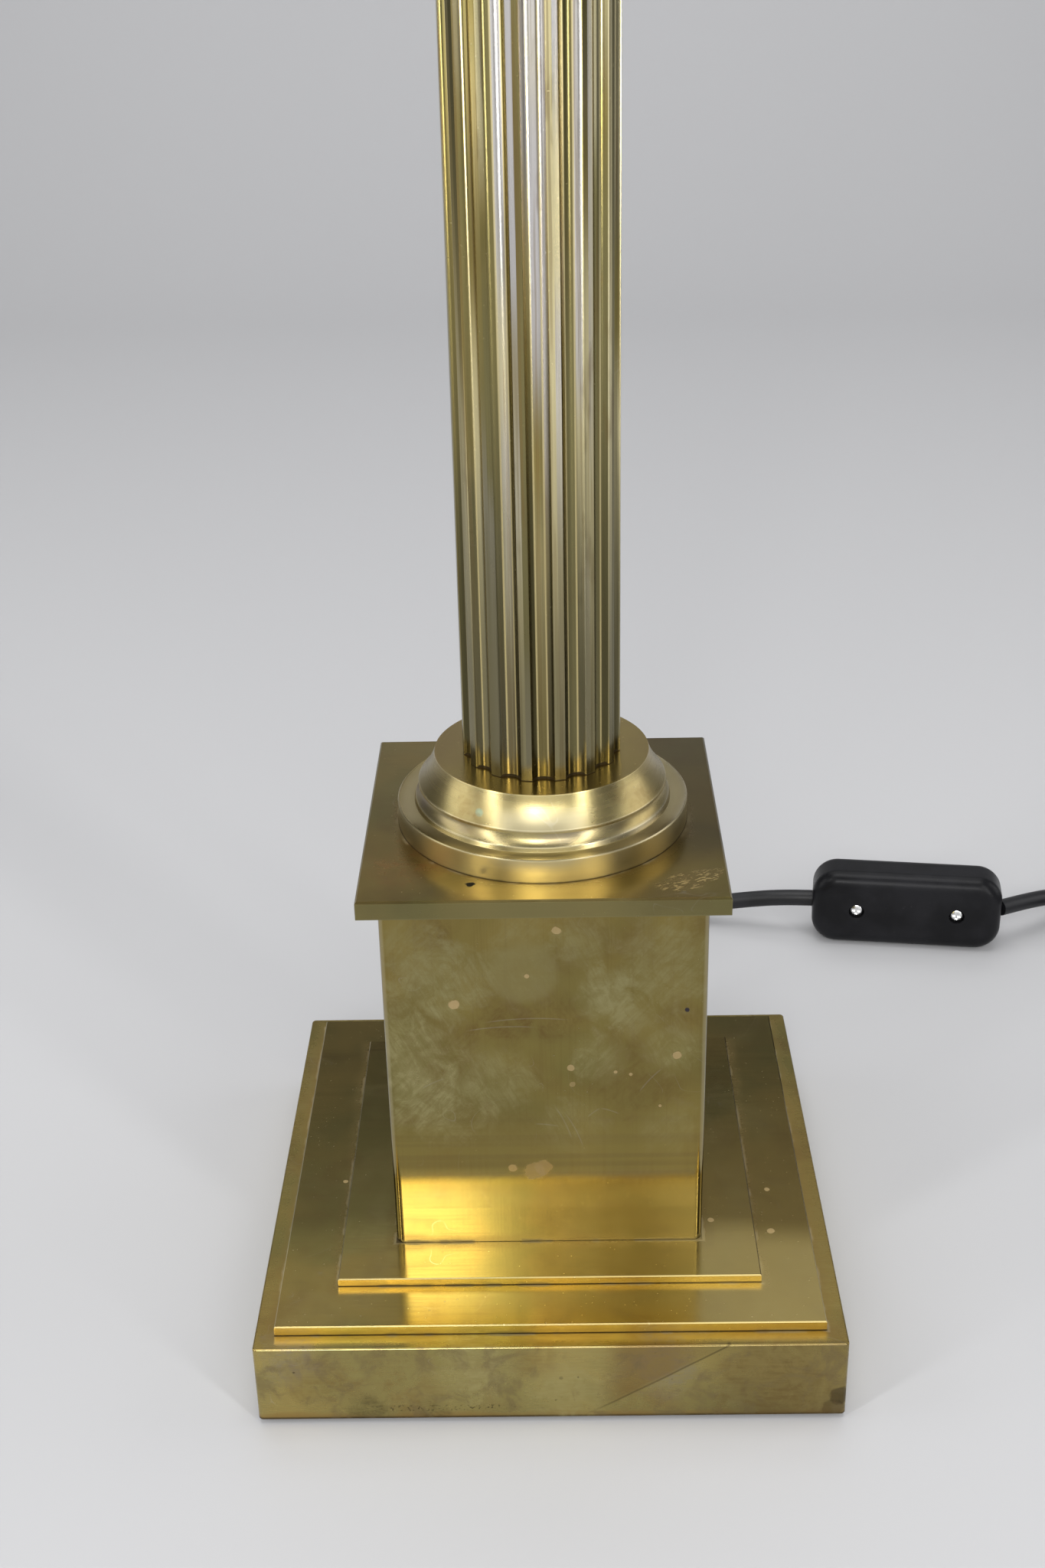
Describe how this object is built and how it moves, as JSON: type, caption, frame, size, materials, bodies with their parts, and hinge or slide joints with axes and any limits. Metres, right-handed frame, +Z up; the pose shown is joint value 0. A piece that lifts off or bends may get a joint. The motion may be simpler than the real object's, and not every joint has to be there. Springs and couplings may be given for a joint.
{
  "type": "column table lamp",
  "caption": "Brass table lamp: fluted column with turned base and capital on a stepped square pedestal, lampholder, black cord with inline rocker switch and plug.",
  "frame": {"origin": "on the surface the lamp stands on, under the middle of the square base", "axes": "+Z up the column, -Y towards the front of the lamp, +X to the right of someone who faces it"},
  "size_m": [0.3927, 0.2989, 0.6147],
  "materials": {
    "felt": "matt wool felt",
    "hardboard": "raw pressed board",
    "cast_iron": "rough casting",
    "aged_brass": "old polish with tarnish, finger marks and fine brushing",
    "zinc_steel": "zinc plate",
    "ceramic": "glazed white ceramic",
    "contact_brass": "bright",
    "lead_live_cover": "brown insulation",
    "lead_neutral_cover": "blue insulation",
    "cord_black": "satin",
    "black_plastic": "satin moulding",
    "relief_rubber": "satin",
    "bright_screw": "bright plate",
    "pin_nickel": "nickel plate"
  },
  "bodies": {
    "lamp": {"felt_pad": "felt", "base_board": "hardboard", "base_shell": "aged_brass", "base_ballast": "cast_iron", "cord_saddle": "zinc_steel", "saddle_screws": "zinc_steel", "step_plate_lower": "aged_brass", "step_plate_upper": "aged_brass", "pedestal_box": "aged_brass", "pedestal_foot_locator": "zinc_steel", "pedestal_top_locator": "zinc_steel", "pedestal_cap": "aged_brass", "column_base": "aged_brass", "column_shaft": "aged_brass", "column_capital": "aged_brass", "abacus": "aged_brass", "crown_plate": "aged_brass", "tie_tube": "zinc_steel", "bottom_washer": "zinc_steel", "bottom_nut": "zinc_steel", "top_washer": "zinc_steel", "top_nut": "zinc_steel", "neck": "aged_brass", "holder_cap": "aged_brass", "holder_insert": "ceramic", "terminal_screws": "contact_brass", "socket_shell": "contact_brass", "centre_contact": "contact_brass", "holder_skirt": "aged_brass", "shade_ring_lower": "aged_brass", "shade_ring_upper": "aged_brass", "lead_live": "lead_live_cover", "lead_neutral": "lead_neutral_cover", "cord_relief": "relief_rubber", "cord_inner": "cord_black", "cord_to_switch": "cord_black", "cord_to_coil": "cord_black", "cord_coil": "cord_black", "cord_tail": "cord_black", "switch_lower_shell": "black_plastic", "switch_upper_shell": "black_plastic", "switch_screws": "bright_screw", "switch_terminals": "contact_brass", "contact_leaf": "contact_brass", "plug_body": "black_plastic", "plug_pins": "pin_nickel", "pin_sleeves": "black_plastic"},
    "rocker": {"switch_rocker": "black_plastic"}
  },
  "joints": [
    {"name": "rocker_hinge", "type": "hinge", "parent": "lamp", "child": "rocker", "pos_m": [0.13858, 0.17785, 0.015], "axis": [0, 0, 1], "range_deg": [0, 16]}
  ]
}
